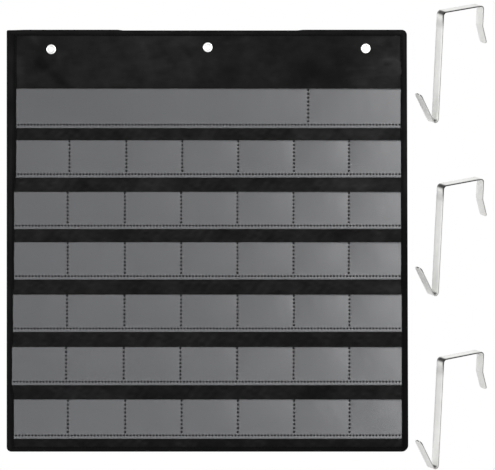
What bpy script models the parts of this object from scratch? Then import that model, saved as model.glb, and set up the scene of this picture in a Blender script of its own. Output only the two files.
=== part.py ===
"""Hanging pocket chart: black cloth with seven rows of clear pockets, three eyelets and three door hooks.

The chart hangs upright in the XZ plane and faces -Y. The origin is the middle of the centre eyelet's hole.
The lower half folds forward and up about a line between the third and the fourth row.
"""
import math

import bmesh
import bpy
from mathutils import Matrix, Vector

# Chart
chart_width = 0.6015
chart_shift = -0.00095
eyelet_drop = 0.0264
cloth_thickness = 0.0010
seat_gap = 0.0003
side_gap = 0.0005
cut_overrun = 0.004
corner_radius_top_left = 0.0025
corner_radius_top_right = 0.0080
corner_radius_bottom_left = 0.0070
corner_radius_bottom_right = 0.0100
corner_steps = 5

# Folded tape round the edge
tape_thickness = 0.0006
top_tape_width = 0.0085
bottom_tape_width = 0.0070
right_tape_width = 0.0093
left_tape_width = 0.0110
left_tape_shares = (1.335, 1.32, 1.035, 1.044, 0.892, 0.755, 1.003)
cloth_tuck = 0.0030

# Rows of clear film
header_height = 0.0885
bottom_border = 0.0194
row_pitch = 0.0777
row_slip_shares = (0, -0.0042, -0.0075, -0.036, -0.0245, -0.012, 0)
film_height = 0.0570
film_height_shares = (1.037, 0.981, 0.976, 0.981, 0.980, 1.001, 1.033)
film_thickness = 0.0003
film_margin = 0.0054
film_swell = 0.0018
end_pocket_shortfall = 0.00515
pockets_shift = 0.0017
pocket_slip_shares = (0, 0.0174, 0.0, 0.0, 0.0, -0.0091, 0.0085)
pocket_pitch_shares = (1, 0.992, 0.998, 0.998, 1.0025, 1.0055, 1.0)
seam_slip_shares = (-0.012, 0.0055, 0.0068, 0.0068, 0.0045, -0.0116)
seams_per_row = 6
small_pocket_width = 0.1400
seam_flat = 0.0012
swell_columns = ((0.22, 0.62), (0.50, 1.0), (0.78, 0.62))
swell_rows = ((0.5, 0.7), (1.0, 1.0))
rows_above_fold = 3

# Thread
thread_width = 0.0006
thread_thickness = 0.0005
tape_seam_inset = 0.0012

# Fold between the third and the fourth row
fold_cut = 0.0005
fold_clearance = 0.0006

# Soft folds that hang from the eyelets in the header
header_columns = 36
header_rows = 8
header_fold_depth = 0.0026
header_fold_width = 0.017
header_fold_start = 0.022
header_fold_end = 0.075
header_flat_edge = 0.0130
header_edge_ramp = 0.010
header_fold_slopes = ((-1.9, 0.7), (-0.45, 1.0), (0.6, -0.8), (2.2, 0.6))

# Eyelets
eyelet_left_inset = 0.0668
eyelet_left_sag = 0.0030
eyelet_right_inset = 0.0628
eyelet_right_sag = 0.0017
eyelet_hole_radius = 0.0042
eyelet_wall = 0.0005
eyelet_flange_radius = 0.0074
eyelet_flange_rise = 0.0007
eyelet_curl_radius = 0.0060
eyelet_curl_rise = 0.0006
eyelet_land = 0.0005
washer_thickness = 0.0005
barrel_clearance = 0.0003
eyelet_sides = 16

# Door hooks
hook_count = 3
hook_pitch = 0.2591
hook_side_gap = 0.0482
hook_rise = 0.0254
hook_forward = 0.0750
hook_width = 0.0149
hook_thickness = 0.0015
hook_door_gap = 0.0787
hook_leg = 0.1814
hook_catch_reach = 0.0375
hook_catch_rise = 0.0595
hook_back_leg = 0.0316
hook_flare_reach = 0.0102
hook_flare_drop = 0.0284
hook_bend_radius = 0.0055
hook_catch_radius = 0.0050
hook_tip_radius = 0.0045
bend_steps = 4
hook_back_direction = Vector((0.757, 0.638, 0.142))
hook_up_direction = Vector((0.044, -0.266, 0.963))

# Places that follow from the sizes above
chart_left = chart_shift - chart_width / 2
chart_right = chart_left + chart_width
chart_top = eyelet_drop
film_top = chart_top - header_height
last_row = len(film_height_shares) - 1
last_film_low = film_top - last_row * row_pitch - film_height * film_height_shares[last_row]
chart_bottom = last_film_low - bottom_border
inner_right = chart_right - right_tape_width
inner_width = inner_right - chart_left - left_tape_width
pocket_pitch = (inner_width + 2 * end_pocket_shortfall) / (seams_per_row + 1)
pockets_middle = inner_right - inner_width / 2 + pockets_shift
cloth_front = -cloth_thickness / 2
film_front = cloth_front - seat_gap - film_thickness
thread_middle = film_front - seat_gap - thread_thickness / 2
tape_half = cloth_thickness / 2 + seat_gap + tape_thickness
fold_z = film_top - rows_above_fold * row_pitch + (row_pitch - film_height) / 2
fold_y = film_front - film_swell - fold_clearance
eyelets = {
    "left": (chart_left + eyelet_left_inset, -eyelet_left_sag),
    "centre": (0, 0),
    "right": (chart_right - eyelet_right_inset, -eyelet_right_sag),
}


def clear_scene():
    for old in list(bpy.data.objects):
        bpy.data.objects.remove(old, do_unlink=True)


def new_collection(name):
    collection = bpy.data.collections.new(name)
    bpy.context.scene.collection.children.link(collection)
    return collection


def new_material(name, colour, roughness, metallic=0.0, alpha=1.0):
    material = bpy.data.materials.new(name)
    material.use_nodes = True
    shader = material.node_tree.nodes["Principled BSDF"]
    shader.inputs["Base Color"].default_value = (*colour, 1.0)
    shader.inputs["Roughness"].default_value = roughness
    shader.inputs["Metallic"].default_value = metallic
    shader.inputs["Alpha"].default_value = alpha
    material.diffuse_color = (*colour, alpha)
    return material


def place(obj, collection, material=None):
    """Put an object in its collection and give it its material."""
    for old in list(obj.users_collection):
        old.objects.unlink(obj)
    collection.objects.link(obj)
    if material:
        obj.data.materials.clear()
        obj.data.materials.append(material)
    return obj


def make_cutter(obj):
    place(obj, cutters)
    obj.hide_render = True
    obj.display_type = "WIRE"
    return obj


def boolean(obj, cutter, operation):
    step = obj.modifiers.new(f"{operation.lower()} {cutter.name}", "BOOLEAN")
    step.operation = operation
    step.solver = "EXACT"
    step.object = cutter


def upright_slab(name, points, half_thickness, middle_y=0.0):
    """A flat outline in X and Z with a thickness along Y, as a welded mesh."""
    outline = bpy.data.curves.new(name, "CURVE")
    outline.dimensions = "2D"
    outline.fill_mode = "BOTH"
    outline.extrude = half_thickness
    spline = outline.splines.new("POLY")
    spline.points.add(len(points) - 1)
    for point, (x, z) in zip(spline.points, points):
        point.co = (x, z, 0, 1)
    spline.use_cyclic_u = True
    upright = Matrix.Translation((0, middle_y, 0)) @ Matrix.Rotation(math.pi / 2, 4, "X")
    return mesh_from_curve(name, outline, upright)


def mesh_from_curve(name, curve, placing):
    """Turn a curve into a mesh object with its caps welded, and remove the curve."""
    holder = bpy.data.objects.new(name + "_outline", curve)
    holder.matrix_world = placing
    parts.objects.link(holder)
    depsgraph = bpy.context.evaluated_depsgraph_get()
    mesh = bpy.data.meshes.new_from_object(holder.evaluated_get(depsgraph))
    mesh.name = name
    mesh.materials.clear()
    shape = bmesh.new()
    shape.from_mesh(mesh)
    bmesh.ops.remove_doubles(shape, verts=shape.verts, dist=seat_gap / 100)
    bmesh.ops.recalc_face_normals(shape, faces=shape.faces)
    shape.to_mesh(mesh)
    shape.free()
    obj = bpy.data.objects.new(name, mesh)
    obj.matrix_world = placing
    bpy.data.objects.remove(holder, do_unlink=True)
    parts.objects.link(obj)
    return obj


def rectangle(left, right, bottom, top):
    return [(left, bottom), (right, bottom), (right, top), (left, top)]


def rounded_outline(inset):
    """The chart's outline, moved in by inset, with its four rounded corners."""
    corners = [
        (chart_left, chart_bottom, 1, 1, math.pi, corner_radius_bottom_left),
        (chart_right, chart_bottom, -1, 1, 1.5 * math.pi, corner_radius_bottom_right),
        (chart_right, chart_top, -1, -1, 0.0, corner_radius_top_right),
        (chart_left, chart_top, 1, -1, 0.5 * math.pi, corner_radius_top_left),
    ]
    points = []
    for x, z, inward_x, inward_z, start, radius in corners:
        centre_x, centre_z = x + inward_x * radius, z + inward_z * radius
        for step in range(corner_steps + 1):
            turn = start + 0.5 * math.pi * step / corner_steps
            reach = radius - inset
            points.append((centre_x + reach * math.cos(turn), centre_z + reach * math.sin(turn)))
    return points


def row_span(row):
    """The bottom and the top of a row's film."""
    top = film_top - row * row_pitch - row_slip_shares[row] * row_pitch
    return top - film_height * film_height_shares[row], top


def left_tape_edge(row):
    return chart_left + left_tape_width * left_tape_shares[row]


def row_ends(row):
    return left_tape_edge(row) + side_gap, inner_right - side_gap


def row_seams(row):
    """Where the upright seams of a row stand."""
    if row == 0:
        return [inner_right - small_pocket_width]
    middle = pockets_middle + pocket_slip_shares[row] * pocket_pitch
    pitch = pocket_pitch * pocket_pitch_shares[row]
    half = (seams_per_row - 1) / 2
    return [middle + (seam - half) * pitch + slip * pocket_pitch for seam, slip in enumerate(seam_slip_shares)]


def sheet(name, xs, zs, depth, thickness, material):
    """Cloth or film with its front on a grid of lines, whose depth is depth(column, row)."""
    shape = bmesh.new()
    bmesh.ops.create_grid(shape, x_segments=len(xs) - 1, y_segments=len(zs) - 1, size=1)
    for vertex in shape.verts:
        column = round((vertex.co.x + 1) / 2 * (len(xs) - 1))
        line = round((vertex.co.y + 1) / 2 * (len(zs) - 1))
        vertex.co = (xs[column], depth(column, line), zs[line])
    mesh = bpy.data.meshes.new(name)
    shape.to_mesh(mesh)
    shape.free()
    obj = bpy.data.objects.new(name, mesh)
    place(obj, parts, material)
    body = obj.modifiers.new("thickness", "SOLIDIFY")
    body.thickness = thickness
    body.offset = -1
    return obj


def header_fold(x, z):
    """How far the header cloth stands forward where it hangs in soft folds from the eyelets."""
    edges = (
        x - left_tape_edge(0) - header_flat_edge,
        inner_right - header_flat_edge - x,
        chart_top - top_tape_width - header_flat_edge - z,
        z - film_top,
    )
    ramp = min(1.0, max(0.0, min(edges) / header_edge_ramp))
    rise = 0.0
    for eyelet_x, eyelet_z in eyelets.values():
        across, down = x - eyelet_x, eyelet_z - z
        distance = math.hypot(across, down)
        if distance < header_fold_start or down < 0:
            continue
        growth = min(1.0, (distance - header_fold_start) / header_fold_start)
        fade = max(0.0, 1.0 - (distance - header_fold_start) / header_fold_end)
        for slope, strength in header_fold_slopes:
            off_line = (across - slope * down) / math.hypot(1.0, slope)
            rise += strength * growth * fade * math.exp(-((off_line / header_fold_width) ** 2))
    return rise * ramp * header_fold_depth


def eyelet_hole_cutter(name, x, z):
    bpy.ops.mesh.primitive_cylinder_add(
        vertices=eyelet_sides,
        radius=eyelet_hole_radius + eyelet_wall + 2 * barrel_clearance,
        depth=2 * cut_overrun,
        location=(x, 0, z),
        rotation=(math.pi / 2, 0, 0),
    )
    cutter = bpy.context.active_object
    cutter.name = name
    return make_cutter(cutter)


def make_backing():
    left = chart_left + tape_thickness + seat_gap + cloth_tuck
    right = chart_right - tape_thickness - seat_gap - cloth_tuck
    top = chart_top - tape_thickness - seat_gap - cloth_tuck
    bottom = chart_bottom + tape_thickness + seat_gap + cloth_tuck
    xs = [left + (right - left) * column / header_columns for column in range(header_columns + 1)]
    header_bottom = film_top
    zs = [fold_z + fold_cut / 2]
    zs += [header_bottom + (top - header_bottom) * line / header_rows for line in range(header_rows + 1)]

    def depth(column, line):
        return cloth_front - (header_fold(xs[column], zs[line]) if line > 1 else 0.0)

    upper = sheet("backing_upper", xs, zs, depth, cloth_thickness, cloth)
    for side, (x, z) in eyelets.items():
        boolean(upper, eyelet_hole_cutter(f"hole_{side}", x, z), "DIFFERENCE")
    lower_zs = [bottom, fold_z - fold_cut / 2]
    sheet("backing_lower", [left, right], lower_zs, lambda column, line: cloth_front, cloth_thickness, cloth)


def make_tapes():
    """Each tape is a stretch of one plate, with the slot that the cloth lies in cut out."""
    slot = make_cutter(
        upright_slab("tape_slot", rounded_outline(tape_thickness), cloth_thickness / 2 + seat_gap)
    )
    top_edge = chart_top - top_tape_width
    bottom_edge = chart_bottom + bottom_tape_width
    above_fold = fold_z + fold_cut / 2
    below_fold = fold_z - fold_cut / 2
    out_left, out_right = chart_left - cut_overrun, chart_right + cut_overrun
    left_edge = [(left_tape_edge(0), top_edge)]
    for row in range(last_row + 1):
        low, high = row_span(row)
        left_edge += [(left_tape_edge(row), high), (left_tape_edge(row), low)]
    left_edge[-1] = (left_tape_edge(last_row), bottom_edge)
    fold_edge = (left_tape_edge(rows_above_fold), fold_z)
    split = 1 + 2 * rows_above_fold

    def left_region(edge, low, high):
        inner = [(x, min(max(z, low), high)) for x, z in edge]
        return [(out_left, high)] + inner + [(out_left, low)]

    regions = {
        "binding_top": rectangle(out_left, out_right, top_edge, chart_top + cut_overrun),
        "binding_bottom": rectangle(out_left, out_right, chart_bottom - cut_overrun, bottom_edge),
        "binding_right_upper": rectangle(inner_right, out_right, above_fold, top_edge - seat_gap),
        "binding_right_lower": rectangle(inner_right, out_right, bottom_edge + seat_gap, below_fold),
        "binding_left_upper": left_region(left_edge[:split] + [fold_edge], above_fold, top_edge - seat_gap),
        "binding_left_lower": left_region([fold_edge] + left_edge[split:], bottom_edge + seat_gap, below_fold),
    }
    for name, region in regions.items():
        tape = upright_slab(name, rounded_outline(0.0), tape_half)
        place(tape, parts, binding)
        boolean(tape, make_cutter(upright_slab(name + "_region", region, 2 * tape_half)), "INTERSECT")
        boolean(tape, slot, "DIFFERENCE")


def make_film(row):
    """A strip of film that swells between its seams towards the open top edge."""
    low, high = row_span(row)
    left, right = row_ends(row)
    seams = [left, *row_seams(row), right]
    xs, column_swells = [left], [0.0]
    for start, end in zip(seams, seams[1:]):
        start, end = start + seam_flat, end - seam_flat
        xs.append(start)
        column_swells.append(0.0)
        for share, swell in swell_columns:
            xs.append(start + (end - start) * share)
            column_swells.append(swell)
        xs.append(end)
        column_swells.append(0.0)
    xs.append(right)
    column_swells.append(0.0)
    mouth_start = low + film_margin + seam_flat
    zs, row_swells = [low, mouth_start], [0.0, 0.0]
    for share, swell in swell_rows:
        zs.append(mouth_start + (high - mouth_start) * share)
        row_swells.append(swell)

    def depth(column, line):
        return film_front - film_swell * column_swells[column] * row_swells[line]

    sheet(f"pocket_film_{row + 1}", xs, zs, depth, film_thickness, film)


def make_row_thread(row):
    """One bottom seam with an upright seam at each pocket's edge."""
    low, high = row_span(row)
    left, right = row_ends(row)
    half = thread_width / 2
    seam_low, seam_high = low + film_margin - half, low + film_margin + half
    lower_side, upper_side = [(left, seam_low)], [(left, seam_high)]
    for seam in row_seams(row):
        west, east = seam - half, seam + half
        lower_side += [(west, seam_low), (west, low), (east, low), (east, seam_low)]
        upper_side += [(west, seam_high), (west, high), (east, high), (east, seam_high)]
    lower_side.append((right, seam_low))
    upper_side.append((right, seam_high))
    outline = lower_side + upper_side[::-1]
    row_thread = upright_slab(f"row_stitching_{row + 1}", outline, thread_thickness / 2, thread_middle)
    place(row_thread, parts, thread)


def make_tape_thread(name, left, right, closed_z, open_z):
    """The seam that closes the tape, along one long edge and both short ones."""
    away = 1 if closed_z > open_z else -1
    inner = closed_z - away * thread_width
    outline = [
        (left, open_z),
        (left, closed_z),
        (right, closed_z),
        (right, open_z),
        (right - thread_width, open_z),
        (right - thread_width, inner),
        (left + thread_width, inner),
        (left + thread_width, open_z),
    ]
    middle = -tape_half - seat_gap - thread_thickness / 2
    place(upright_slab(name, outline, thread_thickness / 2, middle), parts, thread)


def make_threads():
    narrowest = left_tape_width * min(left_tape_shares)
    left = chart_left + narrowest - tape_seam_inset - thread_width
    right = inner_right + tape_seam_inset + thread_width
    top = chart_top - top_tape_width + tape_seam_inset
    bottom = chart_bottom + bottom_tape_width - tape_seam_inset
    make_tape_thread("binding_stitching_upper", left, right, top, fold_z + fold_cut / 2)
    make_tape_thread("binding_stitching_lower", left, right, bottom, fold_z - fold_cut / 2)


def turned_ring(name, profile, location, material):
    """A closed section (radius, height), listed down its outer side, turned about the Y axis."""
    mesh = bpy.data.meshes.new(name)
    shape = bmesh.new()
    ring = [shape.verts.new((radius, 0, height)) for radius, height in profile]
    for first, second in zip(ring, ring[1:] + ring[:1]):
        shape.edges.new((first, second))
    shape.to_mesh(mesh)
    shape.free()
    obj = bpy.data.objects.new(name, mesh)
    place(obj, parts, material)
    obj.location = location
    obj.rotation_euler = (math.pi / 2, 0, 0)
    turn = obj.modifiers.new("turn", "SCREW")
    turn.steps = eyelet_sides
    turn.render_steps = eyelet_sides
    turn.use_merge_vertices = True
    turn.merge_threshold = seat_gap / 10
    turn.use_smooth_shade = False
    return obj


def make_eyelet(side, x, z):
    """A flange in front, a barrel through the cloth and a curl over the washer behind it."""
    inner = eyelet_hole_radius
    outer = inner + eyelet_wall
    front_seat = cloth_thickness / 2 + seat_gap
    washer_back = -front_seat - washer_thickness
    curl_seat = washer_back - seat_gap
    flange_top = front_seat + eyelet_flange_rise
    flange_middle = (inner + eyelet_flange_radius) / 2
    curl_back = curl_seat - eyelet_curl_rise
    curl_middle = (inner + eyelet_curl_radius) / 2
    profile = [
        (flange_middle - eyelet_land, flange_top),
        (flange_middle + eyelet_land, flange_top),
        (eyelet_flange_radius, front_seat + eyelet_flange_rise / 3),
        (eyelet_flange_radius, front_seat),
        (outer, front_seat),
        (outer, curl_seat),
        (eyelet_curl_radius, curl_seat),
        (eyelet_curl_radius, curl_seat - eyelet_curl_rise / 2),
        (curl_middle + eyelet_land, curl_back),
        (curl_middle - eyelet_land, curl_back),
        (inner, curl_seat - eyelet_curl_rise / 2),
        (inner, flange_top - eyelet_flange_rise / 3),
    ]
    turned_ring(f"eyelet_{side}", profile, (x, 0, z), nickel)
    washer_hole = outer + barrel_clearance
    washer = [
        (eyelet_flange_radius, -front_seat),
        (eyelet_flange_radius, washer_back),
        (washer_hole, washer_back),
        (washer_hole, -front_seat),
    ]
    turned_ring(f"eyelet_washer_{side}", washer, (x, 0, z), nickel)


def hook_centreline():
    """The bent strip seen from its edge: back distance and height, from the catch to the flared end."""
    back = hook_door_gap + hook_thickness
    corners = [
        (-hook_catch_reach, -hook_leg + hook_catch_rise, 0.0),
        (0.0, -hook_leg, hook_catch_radius),
        (0.0, 0.0, hook_bend_radius),
        (back, 0.0, hook_bend_radius),
        (back, -hook_back_leg, hook_bend_radius),
        (back + hook_flare_reach, -hook_back_leg - hook_flare_drop, 0.0),
    ]
    path = [Vector(corners[0][:2])]
    for before, corner, after in zip(corners, corners[1:], corners[2:]):
        here = Vector(corner[:2])
        to_before = (Vector(before[:2]) - here).normalized()
        to_after = (Vector(after[:2]) - here).normalized()
        radius = corner[2]
        opening = to_before.angle(to_after)
        run = radius / math.tan(opening / 2)
        centre = here + (to_before + to_after).normalized() * (radius / math.sin(opening / 2))
        start = (here + to_before * run - centre).normalized()
        end = (here + to_after * run - centre).normalized()
        for step in range(bend_steps + 1):
            path.append(centre + start.slerp(end, step / bend_steps) * radius)
    path.append(Vector(corners[-1][:2]))
    return path


def strip_outline(path, thickness):
    """Both sides of a strip round its centreline."""
    left_side, right_side = [], []
    for index, point in enumerate(path):
        before = path[max(index - 1, 0)]
        after = path[min(index + 1, len(path) - 1)]
        arriving = (point - before).normalized() if index else (after - point).normalized()
        leaving = (after - point).normalized() if index < len(path) - 1 else arriving
        along = (arriving + leaving).normalized()
        widen = 1 / max(along.dot(arriving), 0.5)
        across = Vector((-along.y, along.x)) * (thickness / 2 * widen)
        left_side.append(point + across)
        right_side.append(point - across)
    return left_side + right_side[::-1]


def hook_frame():
    """The hook's own axes in the world: back over the door, up its leg, and across the strip."""
    up = hook_up_direction.normalized()
    across = hook_back_direction.cross(up).normalized()
    back = up.cross(across)
    return back, up, across


def make_hooks():
    path = hook_centreline()
    outline = bpy.data.curves.new("hook_outline", "CURVE")
    outline.dimensions = "2D"
    outline.fill_mode = "BOTH"
    outline.extrude = hook_width / 2
    spline = outline.splines.new("POLY")
    sides = strip_outline(path, hook_thickness)
    spline.points.add(len(sides) - 1)
    for point, side in zip(spline.points, sides):
        point.co = (side.x, side.y, 0, 1)
    spline.use_cyclic_u = True
    back, up, across = hook_frame()
    turned = Matrix((back, up, across)).transposed().to_4x4()
    ends = (path[0], path[-1])
    for index, level in zip(range(hook_count), ("top", "middle", "bottom")):
        seat = Vector((chart_right + hook_side_gap, -hook_forward, chart_top + hook_rise - index * hook_pitch))
        hook = mesh_from_curve(f"door_hook_{level}", outline, Matrix.Translation(seat) @ turned)
        place(hook, parts, steel)
        round_strip_ends(hook, ends)


def round_strip_ends(hook, ends):
    """Round the four corners of the strip, two at each end."""
    shape = bmesh.new()
    shape.from_mesh(hook.data)
    weights = shape.edges.layers.float.new("bevel_weight_edge")
    for edge in shape.edges:
        first, second = (vertex.co for vertex in edge.verts)
        same_side = abs(first.z - second.z) < hook_thickness
        middle = (first + second).to_2d() / 2
        at_end = any((middle - end).length < hook_thickness / 2 for end in ends)
        if at_end and same_side:
            edge[weights] = 1.0
    shape.to_mesh(hook.data)
    shape.free()
    rounding = hook.modifiers.new("rounded ends", "BEVEL")
    rounding.limit_method = "WEIGHT"
    rounding.width = hook_tip_radius
    rounding.segments = 3
    rounding.use_clamp_overlap = False


clear_scene()
parts = new_collection("pocket_chart")
cutters = new_collection("cutters")
cloth = new_material("black cloth", (0.016, 0.016, 0.016), 0.85)
binding = new_material("black binding tape", (0.012, 0.012, 0.013), 0.8)
film = new_material("clear grey film", (0.19, 0.195, 0.2), 0.25, alpha=0.6)
thread = new_material("black thread", (0.006, 0.006, 0.007), 0.7)
nickel = new_material("nickel", (0.85, 0.85, 0.84), 0.25, metallic=1.0)
steel = new_material("pale plated steel", (0.72, 0.72, 0.69), 0.35, metallic=0.6)
make_backing()
make_tapes()
for film_row in range(last_row + 1):
    make_film(film_row)
    make_row_thread(film_row)
make_threads()
for eyelet_side, (eyelet_x, eyelet_z) in eyelets.items():
    make_eyelet(eyelet_side, eyelet_x, eyelet_z)
make_hooks()
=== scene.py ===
"""The pocket chart as the photograph shows it: woven cloth, clear film, stitches, eyelets and bent hooks.

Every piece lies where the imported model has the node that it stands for. Lengths are in metres unless a
comment says otherwise, the chart hangs in the XZ plane, and its front faces -Y.
"""
import math

import bmesh
import bpy
import numpy as np
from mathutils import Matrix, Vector


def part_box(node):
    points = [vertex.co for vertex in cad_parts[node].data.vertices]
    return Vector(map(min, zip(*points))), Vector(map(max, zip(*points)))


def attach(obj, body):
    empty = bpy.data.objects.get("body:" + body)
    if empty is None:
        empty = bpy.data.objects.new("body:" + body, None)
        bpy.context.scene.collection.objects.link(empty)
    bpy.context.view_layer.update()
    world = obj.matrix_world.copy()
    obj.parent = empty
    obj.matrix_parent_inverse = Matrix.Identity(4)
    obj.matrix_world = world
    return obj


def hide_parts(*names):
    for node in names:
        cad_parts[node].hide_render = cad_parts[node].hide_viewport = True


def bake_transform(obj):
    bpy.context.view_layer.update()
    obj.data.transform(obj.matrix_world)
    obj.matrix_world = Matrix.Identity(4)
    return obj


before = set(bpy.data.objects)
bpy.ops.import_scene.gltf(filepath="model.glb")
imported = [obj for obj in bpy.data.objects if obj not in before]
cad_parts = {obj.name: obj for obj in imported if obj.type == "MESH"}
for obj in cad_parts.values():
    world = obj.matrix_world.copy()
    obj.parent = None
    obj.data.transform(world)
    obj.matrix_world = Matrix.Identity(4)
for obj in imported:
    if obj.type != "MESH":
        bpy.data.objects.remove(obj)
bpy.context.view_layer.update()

# The photograph's frame is 495 px wide, at 1.5 mm a pixel in the chart's plane
frame_width = 0.7425
lens_mm, sensor_mm = 800.0, 36.0
frame_middle = (0.05955, -0.28155)

# The chart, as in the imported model
rows = 7
upper_rows = 3
cloth_thickness = 0.0010
seat_gap = 0.0003
film_thickness = 0.0003
tape_thickness = 0.0006
film_swell = 0.0011
film_margin = 0.0051
end_pocket_shortfall = 0.00515
pockets_shift = 0.0017
# How far each row's pockets and each seam are off, and each row's own pitch, as shares of the pitch
pocket_slip_shares = (0, 0.0174, 0.0, 0.0, 0.0, -0.0091, 0.0085)
pocket_pitch_shares = (1, 0.992, 0.998, 0.998, 1.0025, 1.0055, 1.0)
seam_slip_shares = (-0.012, 0.0055, 0.0068, 0.0068, 0.0045, -0.0116)
seams_per_row = 6
small_pocket_width = 0.1400
cloth_front = -cloth_thickness / 2
film_front = cloth_front - seat_gap - film_thickness
tape_half = cloth_thickness / 2 + seat_gap + tape_thickness
corner_radii = {"top_left": 0.0025, "top_right": 0.0080, "bottom_left": 0.0070, "bottom_right": 0.0100}
levels = ("top", "middle", "bottom")
sides = ("left", "centre", "right")

chart_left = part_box("binding_left_upper")[0].x
chart_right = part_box("binding_right_upper")[1].x
chart_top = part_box("binding_top")[1].z
chart_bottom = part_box("binding_bottom")[0].z
inner_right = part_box("binding_right_upper")[0].x
inner_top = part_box("binding_top")[0].z
inner_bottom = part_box("binding_bottom")[1].z
cloth_low, cloth_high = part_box("backing_lower")[0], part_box("backing_upper")[1]
films = [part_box(f"pocket_film_{row + 1}") for row in range(rows)]
film_top = films[0][1].z
eyelets = {}
for side in sides:
    low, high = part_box(f"eyelet_{side}")
    eyelets[side] = ((low.x + high.x) / 2, (low.z + high.z) / 2)
side_gap = 0.0005
narrow_tape_width = 0.0110
narrow_tape = chart_left + narrow_tape_width
pocket_pitch = (inner_right - narrow_tape + 2 * end_pocket_shortfall) / (seams_per_row + 1)
pockets_middle = (inner_right + narrow_tape) / 2 + pockets_shift


def row_seams(row):
    """Where the upright seams of a row stand."""
    if row == 0:
        return [inner_right - small_pocket_width]
    middle = pockets_middle + pocket_slip_shares[row] * pocket_pitch
    pitch = pocket_pitch * pocket_pitch_shares[row]
    half = (seams_per_row - 1) / 2
    return [
        middle + (seam - half) * pitch + slip * pocket_pitch for seam, slip in enumerate(seam_slip_shares)
    ]


def body_of_row(row):
    return "chart_upper" if row < upper_rows else "chart_lower"


# The right edge leans in at the header and out at the hem, and its tape's inner edge slips in each row
right_lean_top, right_lean_bottom = -0.0011, 0.0010
lean_ramp = 0.004
right_tape_slips = (-0.0016, -0.0011, -0.0011, -0.0011, 0.0003, 0.0003, 0.0003)


def right_lean(x, z):
    """How far a point moves to the right: not at all up to the tape, and fully at the edge."""
    lean = np.interp(z, (chart_bottom, 0.0), (right_lean_bottom, right_lean_top))
    return lean * smooth_step((x - inner_right) / lean_ramp + 1)


def right_tape_slip(z):
    """Read at both ends of every film, so that it stays the same along a row."""
    heights, slips = [], []
    for (low, high), slip in reversed(list(zip(films, right_tape_slips))):
        heights += [low.z, high.z]
        slips += [slip, slip]
    return np.interp(z, heights, slips)


# Materials


def start_material(name, colour, roughness, metallic=0.0, specular=0.5, alpha=1.0):
    material = bpy.data.materials.new(name)
    material.use_nodes = True
    shader = material.node_tree.nodes["Principled BSDF"]
    shader.inputs["Base Color"].default_value = (*colour, 1.0)
    shader.inputs["Roughness"].default_value = roughness
    shader.inputs["Metallic"].default_value = metallic
    shader.inputs["Specular IOR Level"].default_value = specular
    shader.inputs["Alpha"].default_value = alpha
    return material, material.node_tree, shader


def add(tree, kind, **values):
    """A new node, with its properties and input values set by name."""
    made = tree.nodes.new("ShaderNode" + kind)
    for name, value in values.items():
        if name in made.bl_rna.properties:
            setattr(made, name, value)
        else:
            made.inputs[name.replace("_", " ")].default_value = value
    return made


def feed(tree, value, node, name):
    tree.links.new(value, node.inputs[name])


def coordinates(tree, scale=(1, 1, 1), attribute=None):
    """The surface's own coordinates in metres, stretched by scale."""
    if attribute:
        source = add(tree, "Attribute", attribute_name=attribute).outputs["Vector"]
    else:
        source = add(tree, "TexCoord").outputs["Object"]
    mapping = add(tree, "Mapping", Scale=scale)
    tree.links.new(source, mapping.inputs["Vector"])
    return mapping.outputs["Vector"]


def noise(tree, vector, scale=1.0, detail=2.0, roughness=0.5):
    made = add(tree, "TexNoise", Scale=scale, Detail=detail, Roughness=roughness)
    tree.links.new(vector, made.inputs["Vector"])
    return made.outputs["Fac"]


def bands(tree, vector, direction, scale, **values):
    made = add(tree, "TexWave", wave_type="BANDS", bands_direction=direction, Scale=scale, **values)
    tree.links.new(vector, made.inputs["Vector"])
    return made.outputs["Fac"]


def attribute_value(tree, name):
    return add(tree, "Attribute", attribute_name=name).outputs["Fac"]


def combine(tree, operation, first, second):
    made = add(tree, "Math", operation=operation)
    for socket, value in zip(made.inputs, (first, second)):
        if isinstance(value, (int, float)):
            socket.default_value = value
        else:
            tree.links.new(value, socket)
    return made.outputs[0]


def weighed(tree, first, first_share, second, second_share):
    """The sum of two values, each by its share."""
    first = combine(tree, "MULTIPLY", first, first_share)
    return combine(tree, "ADD", first, combine(tree, "MULTIPLY", second, second_share))


def grey(value):
    return (value, value, value)


def tones(tree, value, dark, light, low=0.3, high=0.7):
    """A colour that goes from dark to light as value goes from low to high."""
    ramp = add(tree, "ValToRGB")
    ends = ramp.color_ramp.elements
    ends[0].position, ends[1].position = low, high
    ends[0].color, ends[1].color = (*dark, 1.0), (*light, 1.0)
    tree.links.new(value, ramp.inputs["Fac"])
    return ramp.outputs["Color"]


def spread(tree, value, low, high):
    made = add(tree, "MapRange")
    made.inputs["To Min"].default_value = low
    made.inputs["To Max"].default_value = high
    tree.links.new(value, made.inputs["Value"])
    return made.outputs["Result"]


def scaled(tree, colour, factor):
    made = add(tree, "VectorMath", operation="SCALE")
    tree.links.new(colour, made.inputs[0])
    tree.links.new(factor, made.inputs["Scale"])
    return made.outputs["Vector"]


def relief(tree, shader, height, strength, distance):
    bump = add(tree, "Bump", Strength=strength, Distance=distance)
    feed(tree, height, bump, "Height")
    feed(tree, bump.outputs["Normal"], shader, "Normal")


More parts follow.
